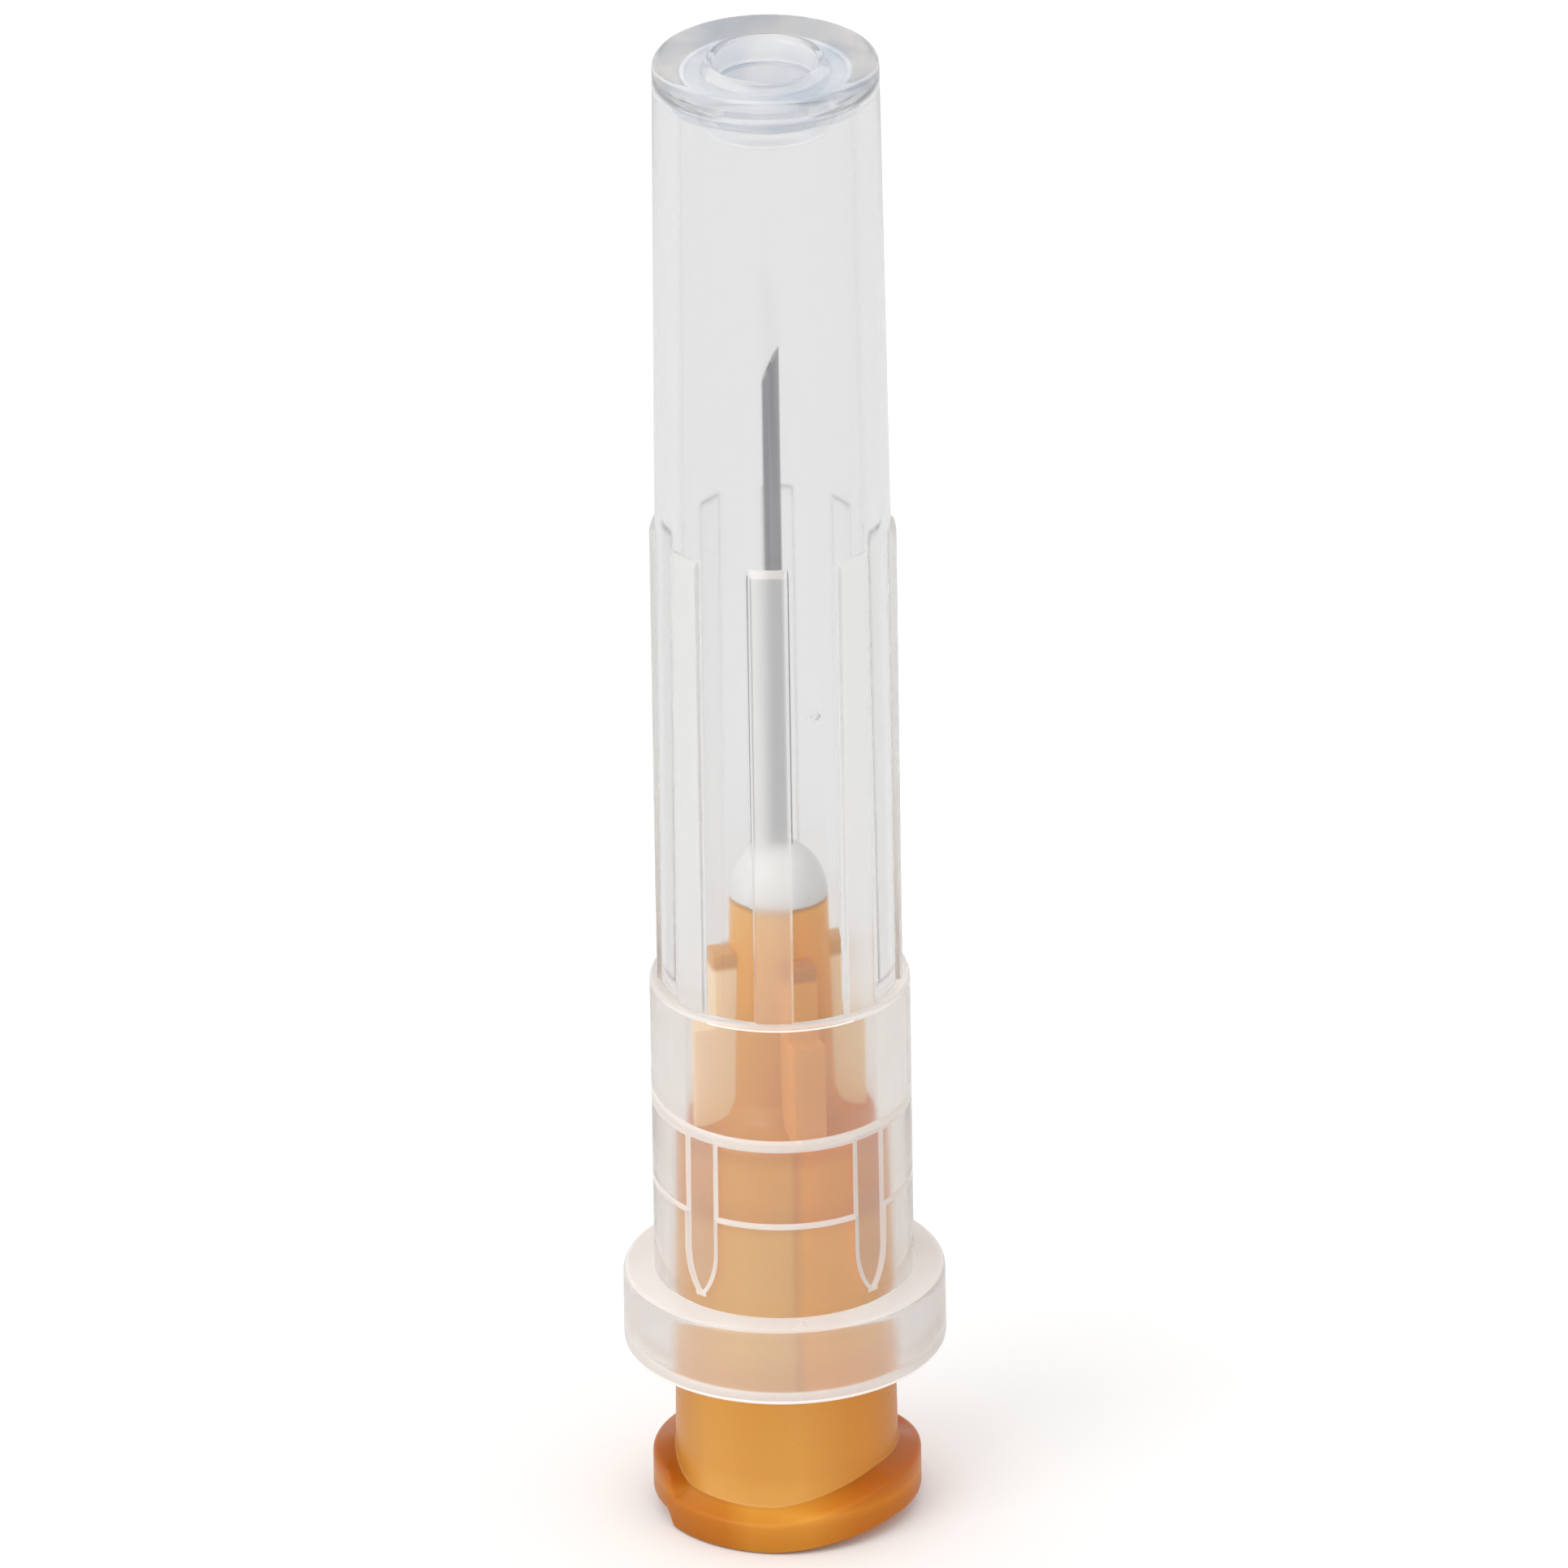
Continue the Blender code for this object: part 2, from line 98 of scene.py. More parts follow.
def rounded(corners, steps=4):
    """A smooth line through corners (r, z, radius), each rounded off by its radius.

    The radii alone settle how many points there are, so lines of all turns match."""
    line = []
    count = len(corners)
    for number, (r, z, radius) in enumerate(corners):
        here = Vector((r, z))
        if radius == 0 or number in (0, count - 1):
            line.append(here)
            continue
        back = Vector(corners[number - 1][:2]) - here
        onward = Vector(corners[number + 1][:2]) - here
        half = back.angle(onward) / 2
        reach = min(radius / math.tan(half), 0.48 * back.length, 0.48 * onward.length)
        start = here + back.normalized() * reach
        end = here + onward.normalized() * reach
        for step in range(steps + 1):
            share = step / steps
            first = start.lerp(here, share)
            line.append(first.lerp(here.lerp(end, share), share))
    return [(point.x, point.y) for point in line]


def around(columns):
    """Even turns round the axis, one for each column."""
    return [math.tau * step / columns for step in range(columns)]


weld_distance = 0.0003 * mm


def skin(name, turns, line_at, closed=False, slot_at=None):
    """A skin swept round the axis: line_at(turn) gives a line of (r, z, shift of turn).

    slot_at(step, turn) gives the material slot of the face at that step of the line."""
    shape = bmesh.new()
    turns = sorted(turns)
    rows = []
    for turn in turns:
        row = []
        for r, z, shift in line_at(turn):
            angle = turn + shift
            row.append(shape.verts.new((r * math.cos(angle), r * math.sin(angle), z)))
        rows.append(row)
    length = len(rows[0])
    neighbours = zip(turns, turns[1:] + turns[:1], rows, rows[1:] + rows[:1])
    for turn, following, this, after in neighbours:
        middle = turn + (following - turn) % math.tau / 2
        for step in range(length if closed else length - 1):
            up = (step + 1) % length
            face = shape.faces.new((this[step], after[step], after[up], this[up]))
            face.material_index = slot_at(step, middle) if slot_at else 0
    bmesh.ops.remove_doubles(shape, verts=shape.verts, dist=weld_distance)
    bmesh.ops.recalc_face_normals(shape, faces=shape.faces)
    data = bpy.data.meshes.new(name)
    shape.to_mesh(data)
    shape.free()
    data.shade_smooth()
    made = bpy.data.objects.new(name, data)
    bpy.context.scene.collection.objects.link(made)
    return made


def smooth(share):
    """Eases a share from 0 to 1, flat at both ends."""
    share = min(max(share, 0), 1)
    return share * share * (3 - 2 * share)


def lug_rise(turn, fall):
    """How far a lug has climbed at this turn, 0 to 1; it falls back to 0 at its end."""
    for start, span in zip(lug_starts, lug_spans):
        past = (turn - start) % math.tau
        if past < span:
            climb = min(max((past - lug_land) / lug_ramp, 0), 1)
            climb = smooth(climb) * lug_ease + climb * (1 - lug_ease)
            return climb * smooth((span - past) / fall)
    return 0


def hub_line(turn):
    """The hub's section: rim, lug, skirt, nose, adhesive well, passage, luer socket."""
    rise = lug_rise(turn, lug_step)
    under = lug_under_z + lug_under_climb * rise
    tip_top = lug_top_z + lug_top_climb * rise
    root_top = lug_root_z + lug_top_climb * lug_rise(turn, 6 * lug_step)
    rim_z = min(rim_bevel, under)
    rim_r = hub_foot_r - rim_bevel + rim_z
    corners = [
        (socket_mouth_r + socket_lead_in, 0, 0),
        (hub_foot_r - rim_bevel, 0, 0.04 * mm),
        (rim_r, rim_z, 0.04 * mm),
        (rim_r + 0.002 * mm, under + 0.004 * mm, 0),
        (lug_tip_r, under + 0.006 * mm, 0.07 * mm),
        (lug_tip_r, tip_top, 0.16 * mm),
        (hub_foot_r - hub_draft * root_top, root_top, 0.12 * mm),
        (hub_foot_r - hub_draft * covered_z, covered_z, 0),
        (hub_foot_r - hub_draft * shoulder_z, shoulder_z, 0.26 * mm),
        (nose_foot_r + nose_flare, shoulder_z, 0.02 * mm),
        (nose_foot_r + 0.22 * mm, shoulder_z + 0.22 * mm, 0.35 * mm),
        (nose_foot_r, shoulder_z + nose_flare, 0.2 * mm),
        (nose_top_r, nose_top_z, 0.09 * mm),
        (well_mouth_r, nose_top_z, 0.03 * mm),
        (well_foot_r, well_foot_z, 0.03 * mm),
        (passage_r, well_foot_z, 0.02 * mm),
        (passage_r, funnel_top_z, 0.10 * mm),
        (socket_mouth_r - socket_taper * socket_floor_z, socket_floor_z, 0.30 * mm),
        (socket_mouth_r, socket_lead_in, 0.03 * mm),
        (socket_mouth_r + socket_lead_in, 0, 0),
    ]
    return [(r, z, 0) for r, z in rounded(corners)[:-1]]


hub_turns = around(240)
least_gap = 0.006
for start, span in zip(lug_starts, lug_spans):
    for past in (0, span - lug_step, span - lug_step / 2):
        turn = (start + past) % math.tau
        apart = [other for other in hub_turns if abs(other - turn) > least_gap]
        hub_turns = apart + [turn]
exposed_slot, lug_slot, covered_slot = range(3)
lug_first_step = 11
lug_last_step = 24
covered_first_step = 27


def hub_slot(step, turn):
    """The lugs are thicker, and the part under the sheath is painted paler for the light that
    the sheath's milky wall scatters over it, so each has its slot.
    """
    if step < lug_first_step:
        return exposed_slot
    if step < lug_last_step:
        return lug_slot
    return exposed_slot if step < covered_first_step else covered_slot


hub = skin("hub_moulding", hub_turns, hub_line, closed=True, slot_at=hub_slot)
hub.data.set_sharp_from_angle(angle=math.radians(50))

fins = bmesh.new()
fin_outline = [
    (fin_root_r, fin_foot_z),
    (fin_foot_r, fin_foot_z),
    (fin_foot_r, fin_step_z),
    (fin_neck_r, fin_step_z),
    (fin_neck_r, fin_top_z),
    (fin_root_r, fin_top_z),
]
for number in range(fin_count):
    turn = Matrix.Rotation(fin_turn + number * math.tau / fin_count, 4, "Z")
    corners = [
        fins.verts.new(turn @ Vector((r, -fin_thickness / 2, z))) for r, z in fin_outline
    ]
    side = fins.faces.new(corners)
    pushed = bmesh.ops.extrude_face_region(fins, geom=[side])
    moved = [item for item in pushed["geom"] if isinstance(item, bmesh.types.BMVert)]
    across = turn @ Vector((0, fin_thickness, 0))
    bmesh.ops.translate(fins, verts=moved, vec=across)
bmesh.ops.recalc_face_normals(fins, faces=fins.faces)
bmesh.ops.bevel(
    fins, geom=fins.edges, offset=fin_edge, segments=3, affect="EDGES", profile=0.5
)
fin_data = bpy.data.meshes.new("hub_fins")
fins.to_mesh(fin_data)
fins.free()
fin_data.shade_smooth()
hub_fins = bpy.data.objects.new("hub_fins", fin_data)
bpy.context.scene.collection.objects.link(hub_fins)


def new_material(name, **values):
    """A new material, its node tree and its shader, with the named sockets set."""
    made = bpy.data.materials.new(name)
    made.use_nodes = True
    nodes = made.node_tree.nodes
    shader = nodes["Principled BSDF"]
    for socket, value in values.items():
        shader.inputs[socket.replace("_", " ")].default_value = value
    return made, made.node_tree, shader


def noise(tree, scale, stretch, detail):
    """Noise fixed to the piece itself, so many grains to the metre, stretched on its axes."""
    place = tree.nodes.new("ShaderNodeTexCoord")
    spread = tree.nodes.new("ShaderNodeMapping")
    spread.inputs["Scale"].default_value = stretch
    grain = tree.nodes.new("ShaderNodeTexNoise")
    grain.inputs["Scale"].default_value = scale
    grain.inputs["Detail"].default_value = detail
    tree.links.new(place.outputs["Object"], spread.inputs["Vector"])
    tree.links.new(spread.outputs["Vector"], grain.inputs["Vector"])
    return grain.outputs["Fac"]


def ramp(tree, source, stops):
    """A colour ramp from stops of (place, colour)."""
    made = tree.nodes.new("ShaderNodeValToRGB")
    entries = made.color_ramp.elements
    for number, (place, colour) in enumerate(stops):
        entry = entries[number] if number < len(entries) else entries.new(place)
        entry.position = place
        entry.color = (*colour, 1)
    tree.links.new(source, made.inputs["Fac"])
    return made.outputs["Color"]


def levels(tree, source, low, high):
    """Spreads a 0 to 1 value between low and high."""
    made = tree.nodes.new("ShaderNodeMapRange")
    made.inputs["To Min"].default_value = low
    made.inputs["To Max"].default_value = high
    tree.links.new(source, made.inputs["Value"])
    return made.outputs["Result"]


def along(tree, axis, low, high):
    """Where a point lies between two places on the piece's own axis, from 0 to 1."""
    place = tree.nodes.new("ShaderNodeTexCoord")
    apart = tree.nodes.new("ShaderNodeSeparateXYZ")
    made = tree.nodes.new("ShaderNodeMapRange")
    made.inputs["From Min"].default_value = low
    made.inputs["From Max"].default_value = high
    tree.links.new(place.outputs["Object"], apart.inputs["Vector"])
    tree.links.new(apart.outputs[axis], made.inputs["Value"])
    return made.outputs["Result"]


def multiplied(tree, first, second):
    """One colour times another."""
    made = tree.nodes.new("ShaderNodeMix")
    made.data_type = "RGBA"
    made.blend_type = "MULTIPLY"
    made.inputs["Factor"].default_value = 1.0
    colours = [socket for socket in made.inputs if socket.type == "RGBA"]
    tree.links.new(first, colours[0])
    tree.links.new(second, colours[1])
    return next(socket for socket in made.outputs if socket.type == "RGBA")


def bump(tree, shader, source, depth, strength):
    """Raises the surface by a 0 to 1 value times the depth."""
    made = tree.nodes.new("ShaderNodeBump")
    made.inputs["Strength"].default_value = strength
    made.inputs["Distance"].default_value = depth
    tree.links.new(source, made.inputs["Height"])
    tree.links.new(made.outputs["Normal"], shader.inputs["Normal"])


def amber(piece, name, axis, low, high, stops, shade, shine=0.42, painted_glow=0, painted_glow_tint=painted_amber_glow):
    """A slot of amber plastic: its colour along an axis, deeper where the wall is thick and
    with painted light and shade in places, times a second ramp along another axis that
    paints shade by side.

    A painted glow, in its own tint, stands in for the light that soaks through it."""
    made, tree, shader = new_material(
        name,
        Subsurface_Weight=0.5,
        Subsurface_Radius=(1.0, 0.42, 0.12),
        Subsurface_Scale=0.7 * mm,
        IOR=1.49,
        Specular_IOR_Level=shine,
        Emission_Color=(*painted_glow_tint, 1),
        Emission_Strength=painted_glow,
    )
    colour = ramp(tree, along(tree, axis, low, high), stops)
    colour = multiplied(tree, colour, ramp(tree, along(tree, *shade[:3]), shade[3]))
    flow = noise(tree, 300, (1, 1, 0.25), 3.0)
    cloud = ramp(tree, flow, [(0.30, (0.94, 0.91, 0.86)), (0.70, (1.0, 1.0, 1.0))])
    tree.links.new(multiplied(tree, colour, cloud), shader.inputs["Base Color"])
    grain = noise(tree, 5200, (1, 1, 1), 6.0)
    tree.links.new(levels(tree, grain, 0.22, 0.40), shader.inputs["Roughness"])
    bump(tree, shader, grain, 0.01 * mm, 0.35)
    piece.data.materials.append(made)


# Paler towards its foot; the second ramp paints shade, darker at both sides and deeper and
# darker on the right, away from the light.
amber(
    hub,
    "amber_polypropylene_skirt",
    "Z",
    0,
    5.2 * mm,
    [
        (0.22, (0.84, 0.47, 0.12)),
        (0.29, (0.80, 0.42, 0.09)),
        (0.42, (0.74, 0.36, 0.068)),
        (1.00, (0.72, 0.345, 0.060)),
    ],
    (
        "X",
        -3.4 * mm,
        3.4 * mm,
        [
            (0.00, (0.80, 0.66, 0.50)),
            (0.16, (1.0, 1.0, 1.0)),
            (0.55, (1.0, 1.0, 1.0)),
            (0.84, (0.94, 0.76, 0.38)),
            (1.00, (0.78, 0.56, 0.20)),
        ],
    ),
)
# A painted highlight band where the lugs meet the skirt, about 1.1 mm up, with darker colour
# below and above it; the second ramp paints shade, darker at both sides and deeper on the
# right.
amber(
    hub,
    "amber_polypropylene_lugs",
    "Z",
    0,
    1.9 * mm,
    [
        (0.10, (0.66, 0.26, 0.025)),
        (0.45, (0.71, 0.30, 0.035)),
        (0.60, (0.80, 0.38, 0.055)),
        (0.68, (0.72, 0.30, 0.035)),
        (0.90, (0.56, 0.20, 0.018)),
    ],
    (
        "X",
        -3.9 * mm,
        3.9 * mm,
        [
            (0.00, (0.74, 0.56, 0.34)),
            (0.26, (0.82, 0.65, 0.42)),
            (0.36, (1.0, 1.0, 1.0)),
            (0.58, (1.0, 1.0, 1.0)),
            (0.76, (0.86, 0.66, 0.34)),
            (1.00, (0.80, 0.53, 0.08)),
        ],
    ),
    shine=0.22,
)
# The part under the sheath is painted paler than the bare skirt, for the light that the
# sheath's milky wall scatters over it; it is darker in bands at about 10.5 and 12.7 mm up.
# The second ramp paints a cool grey veil over the left and middle, a darker streak and a
# deeper orange right half, and a painted glow lightens it.
amber(
    hub,
    "amber_polypropylene_covered",
    "Z",
    5.0 * mm,
    20.0 * mm,
    [
        (0.00, (0.76, 0.38, 0.08)),
        (0.10, (0.95, 0.57, 0.15)),
        (0.33, (0.96, 0.57, 0.145)),
        (0.365, (0.82, 0.40, 0.055)),
        (0.41, (0.91, 0.455, 0.065)),
        (0.47, (0.92, 0.465, 0.070)),
        (0.515, (0.74, 0.330, 0.030)),
        (0.60, (0.76, 0.345, 0.034)),
        (0.72, (0.83, 0.395, 0.060)),
        (0.87, (0.94, 0.46, 0.070)),
        (0.972, (0.96, 0.53, 0.14)),
        (0.979, (0.60, 0.27, 0.05)),
    ],
    (
        "X",
        -3.4 * mm,
        3.4 * mm,
        [
            (0.00, (0.72, 0.62, 0.52)),
            (0.20, (0.77, 0.75, 0.72)),
            (0.32, (0.86, 0.90, 0.93)),
            (0.525, (0.86, 0.90, 0.93)),
            (0.550, (0.78, 0.68, 0.46)),
            (0.590, (0.98, 0.83, 0.36)),
            (0.80, (1.0, 0.87, 0.34)),
            (1.00, (0.94, 0.74, 0.30)),
        ],
    ),
    painted_glow=0.07,
)
# The fins are painted pale cream for the light that shines through them, with a painted dark
# orange band along their tops; the second ramp paints the front and back fins darker orange,
# as in shade, and a painted glow in a peach tint lightens them.
amber(
    hub_fins,
    "amber_polypropylene_fins",
    "Z",
    12.0 * mm,
    18.2 * mm,
    [
        (0.00, (0.73, 0.63, 0.49)),
        (0.90, (0.75, 0.65, 0.51)),
        (0.925, (0.41, 0.18, 0.04)),
        (1.00, (0.45, 0.21, 0.05)),
    ],
    (
        "Y",
        -2.6 * mm,
        2.6 * mm,
        [
            (0.255, (0.76, 0.30, 0.01)),
            (0.268, (1.0, 1.0, 1.0)),
            (0.732, (1.0, 1.0, 1.0)),
            (0.745, (0.76, 0.30, 0.01)),
        ],
    ),
    painted_glow=0.24,
    painted_glow_tint=(1.0, 0.58, 0.18),
)
for piece in (hub, hub_fins):
    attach(piece, "needle")
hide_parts("hub")


# The cannula: a 25 gauge stainless steel tube, drawn, cut and ground to a long bevel
# with two side facets that meet in its point. The adhesive bead bonds it into the hub.
cannula_r = 0.25 * mm
cannula_bore_r = 0.13 * mm
tip_z = 36.98 * mm
bevel_length = 1.12 * mm
lancet_angle = math.radians(38)
lancet_turn = math.radians(35)
drill_low_z = 11.0 * mm
drill_high_z = 38.0 * mm


def tube_line(radius, low, high):
    """The section of a round bar, closed at both ends."""
    return lambda turn: [(0, low, 0), (radius, low, 0), (radius, high, 0), (0, high, 0)]


def ground(piece, through, normal):
    """Grinds away all of the piece beyond a plane and closes the flat."""
    shape = bmesh.new()
    shape.from_mesh(piece.data)
    whole = list(shape.verts) + list(shape.edges) + list(shape.faces)
    bmesh.ops.bisect_plane(
        shape, geom=whole, dist=1e-8, plane_co=through, plane_no=normal, clear_outer=True
    )
    bmesh.ops.holes_fill(shape, edges=shape.edges)
    shape.to_mesh(piece.data)
    shape.free()


cannula = skin("cannula_tube", around(96), tube_line(cannula_r, funnel_top_z, tip_z))
point = Vector((cannula_r, 0, tip_z))
bevel_angle = math.atan2(2 * cannula_r, bevel_length)
ground(cannula, point, Vector((-math.cos(bevel_angle), 0, math.sin(bevel_angle))))
for side in (-1, 1):
    facet = Vector((-math.cos(lancet_angle), 0, math.sin(lancet_angle)))
    ground(cannula, point, Matrix.Rotation(side * lancet_turn, 3, "Z") @ facet)
cannula_drill = skin(
    "cannula_drill", around(64), tube_line(cannula_bore_r, drill_low_z, drill_high_z)
)
drilled = cannula.modifiers.new("bore", "BOOLEAN")
drilled.operation = "DIFFERENCE"
drilled.solver = "EXACT"
drilled.object = cannula_drill
bpy.context.view_layer.update()
drilled_data = bpy.data.meshes.new_from_object(
    cannula.evaluated_get(bpy.context.evaluated_depsgraph_get())
)
cannula.modifiers.clear()
cannula.data = drilled_data
bpy.data.objects.remove(cannula_drill)
cannula.data.shade_smooth()
cannula.data.set_sharp_from_angle(angle=math.radians(25))

steel, steel_tree, steel_shader = new_material("ground_steel", Metallic=1.0)
drawn_lines = noise(steel_tree, 9000, (1, 1, 0.015), 5.0)
steel_colour = ramp(
    steel_tree, drawn_lines, [(0.25, (0.22, 0.22, 0.235)), (0.75, (0.42, 0.42, 0.445))]
)
steel_tree.links.new(steel_colour, steel_shader.inputs["Base Color"])
steel_rough = levels(steel_tree, drawn_lines, 0.22, 0.40)
steel_tree.links.new(steel_rough, steel_shader.inputs["Roughness"])
bump(steel_tree, steel_shader, drawn_lines, 0.002 * mm, 0.3)
cannula.data.materials.clear()
cannula.data.materials.append(steel)
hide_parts("cannula")
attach(cannula, "needle")


# The adhesive: white epoxy run into the well round the cannula and cured. It stands
# on the nose as a dome and climbs a little way up the steel.
bead_height = 1.64 * mm
bead_root_r = 0.47 * mm
bead_root_z = nose_top_z - 1.96 * mm
bead_rim = 0.06 * mm
bond = 0.02 * mm
dome_end = math.radians(78)
dome_steps = 34
climb_height = 0.05 * mm
climb_steps = 6


def bead_line(turn):
    """The dome leans and swells by a hair, as a drop does when it sets."""
    swell = 0.012 * math.sin(turn + 0.6) + 0.008 * math.sin(3 * turn)
    foot_z = nose_top_z + bond
    line = [
        (cannula_r + bond, bead_root_z),
        (bead_root_r, bead_root_z),
        (well_mouth_r - bond, foot_z),
        (nose_top_r - bead_rim, foot_z),
        (nose_top_r, foot_z),
    ]
    for step in range(1, dome_steps + 1):
        angle = dome_end * step / dome_steps
        r = nose_top_r * math.cos(angle) ** 0.92 * (1 + 0.012 * swell)
        z = (bead_height - bond) * math.sin(angle) ** 1.04 * (1 + 0.015 * swell)
        line.append((r, foot_z + z * 0.995))
    top_r, top_z = line[-1]
    for step in range(1, climb_steps + 1):
        share = step / climb_steps
        r = top_r + (cannula_r + bond - top_r) * share
        line.append((r, top_z + climb_height * share * share))
    return [(r, z, 0) for r, z in line]


bead = skin("adhesive_bead", around(128), bead_line, closed=True)
epoxy, epoxy_tree, epoxy_shader = new_material(
    "white_epoxy",
    Subsurface_Weight=0.35,
    Subsurface_Radius=(1.0, 0.95, 0.85),
    Subsurface_Scale=0.4 * mm,
    IOR=1.5,
)
epoxy_cloud = noise(epoxy_tree, 1500, (1, 1, 1), 4.0)
epoxy_colour = ramp(
    epoxy_tree, epoxy_cloud, [(0.30, (0.84, 0.835, 0.81)), (0.70, (0.90, 0.895, 0.88))]
)
epoxy_tree.links.new(epoxy_colour, epoxy_shader.inputs["Base Color"])
epoxy_rough = levels(epoxy_tree, epoxy_cloud, 0.25, 0.45)
epoxy_tree.links.new(epoxy_rough, epoxy_shader.inputs["Roughness"])
bump(epoxy_tree, epoxy_shader, epoxy_cloud, 0.02 * mm, 0.3)
bead.data.materials.append(epoxy)
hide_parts("adhesive")
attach(bead, "needle")


# The sheath: a long thin moulding in clear, faintly milky polypropylene. It is shut at
# its top by the dished gate well, carries eight low ribs, and grips the hub's skirt
# with four pointed ribs inside its mouth. It pulls straight off.
mouth_z = 5.21 * mm
ring_z = 10.38 * mm
ledge_z = 12.89 * mm
flange_top_z = 7.62 * mm
collar_top_z = 16.97 * mm
rib_top_z = 31.31 * mm
cap_top_z = 45.82 * mm
ceiling_z = 44.92 * mm
lower_bore_r = 3.315 * mm
upper_bore_r = 3.195 * mm
body_bore_r = 2.715 * mm
bore_top_r = 2.475 * mm
collar_r = 3.765 * mm
flange_r = 4.675 * mm
body_foot_r = 3.445 * mm
body_rib_r = 3.389 * mm
body_top_r = 3.242 * mm
gate_floor_z = cap_top_z - 1.60 * mm
gate_mouth_r = 1.68 * mm
boss_r = 1.82 * mm
boss_z = gate_floor_z - 0.40 * mm
hair = 0.001 * mm

rib_count = 8
rib_r = 3.549 * mm
rib_width = 1.10 * mm
rib_runout = 0.40 * mm
rib_crown_r = 2.8 * mm
rib_edge = 0.10 * mm
rib_turn = math.radians(-3.0)

grip_count = 4
grip_turn = math.radians(46.5)
grip_width = 1.00 * mm
grip_foot_z = 7.89 * mm
grip_point_length = 1.45 * mm
grip_edge = 0.09 * mm
grip_arch = 0.72
grip_gather = 1.5 * mm
grip_line = 0.18 * mm
grip_gap = 0.03 * mm
grip_reach = grip_width / 2 + 0.9 * mm


def from_nearest(turn, first, count):
    """The turn measured from the nearest of count evenly spaced ribs."""
    span = math.tau / count
    return (turn - first + span / 2) % span - span / 2


def outer_radius(turn, r, z):
    """Outer radius with the ribs standing on the body; their flanks are steep."""
    if z < collar_top_z - 0.32 * mm or z > rib_top_z + 0.01 * mm:
        return r
    across = abs(from_nearest(turn, rib_turn, rib_count)) * rib_r
    edge = smooth((rib_width / 2 + rib_edge / 2 - across) / rib_edge)
    crown = rib_r - across * across / 2 * (1 / rib_crown_r - 1 / rib_r)
    up = (z - rib_top_z + rib_runout) / rib_runout
    if up > 0:
        crown -= (rib_r - body_rib_r + 0.02 * mm) * (1 - math.sqrt(max(1 - up * up, 0)))
    return r + max(crown - r, 0) * edge


def grip_half_width(z):
    """Half width of a grip rib at height z: straight, then an arch down to its point."""
    up = (z - grip_foot_z) / grip_point_length
    if up <= 0:
        return 0
    if up >= 1:
        return grip_width / 2
    return grip_width / 2 * math.sin(math.pi / 2 * up ** grip_arch)


def grip_relief(turn, z):
    """How a grip rib shapes the bore: lines gather along its outline and it stands out.

    Gives its share of relief, the shift of the turn and how far off its outline this is."""
    past = from_nearest(turn, grip_turn, grip_count)
    across = abs(past) * lower_bore_r
    full = grip_width / 2
    half = max(grip_half_width(z), grip_edge)
    if z < grip_foot_z:
        ease = smooth((grip_foot_z - z) / grip_gather)
        half = grip_edge + (full - grip_edge) * ease
    if across >= grip_reach:
        placed = across
    elif across >= full + grip_edge:
        share = (across - full - grip_edge) / (grip_reach - full - grip_edge)
        placed = half + grip_edge + share * (grip_reach - half - grip_edge)
    elif across >= full - grip_edge:
        placed = across - full + half
    else:
        placed = across / (full - grip_edge) * (half - grip_edge)
    rise = smooth((z - grip_foot_z + grip_edge) / (2 * grip_edge))
    relief = smooth((half + grip_edge - placed) / (2 * grip_edge)) * rise
    shift = (placed - across) / lower_bore_r * (1 if past > 0 else -1)
    return relief, shift, placed - half


def inner_point(turn, r, z):
    """A point of the bore, with the grip ribs standing out towards the hub's skirt."""
    if z > ledge_z + hair or z < mouth_z + 0.3 * mm:
        return (r, z, 0)
    relief, shift, off = grip_relief(turn, z)
    skirt = hub_foot_r - hub_draft * z + grip_gap
    return (min(r, r + (skirt - r) * relief), z, shift)


outer_corners = [
    (0, gate_floor_z, 0),
    (1.30 * mm, gate_floor_z, 0.12 * mm),
    (1.40 * mm, cap_top_z - 0.45 * mm, 0.12 * mm),
    (1.49 * mm, cap_top_z - 0.13 * mm, 0.25 * mm),
    (gate_mouth_r, cap_top_z, 0.14 * mm),
    (body_top_r, cap_top_z, 0.30 * mm),
    (body_rib_r, rib_top_z + 0.02 * mm, 0),
]
rib_rows = [
    rib_top_z - rib_runout + rib_runout * math.sin(math.radians(angle))
    for angle in range(90, -1, -9)
]
body_corners = [(body_rib_r, z, 0) for z in rib_rows] + [
    (body_rib_r + 0.004 * mm, rib_top_z - 1.2 * mm, 0),
    (body_rib_r + 0.020 * mm, rib_top_z - 5.0 * mm, 0),
    (body_rib_r + 0.038 * mm, rib_top_z - 9.5 * mm, 0),
    (body_foot_r, collar_top_z + 0.03 * mm, 0),
    (body_foot_r, collar_top_z, 0.02 * mm),
    (collar_r, collar_top_z, 0.30 * mm),
    (collar_r, flange_top_z + 0.12 * mm, 0),
    (collar_r, flange_top_z, 0.06 * mm),
    (flange_r, flange_top_z, 0.24 * mm),
    (flange_r, mouth_z, 0.26 * mm),
    (lower_bore_r, mouth_z, 0.13 * mm),
]
grip_rows = [grip_foot_z - 1.6 * mm, grip_foot_z - 0.5 * mm]
grip_rows += [grip_foot_z + step * 0.0375 * mm for step in range(-2, 7)]
grip_rows += [grip_foot_z + 0.30 * mm + step * 0.115 * mm for step in range(11)]
grip_rows += [ring_z - 0.6 * mm]
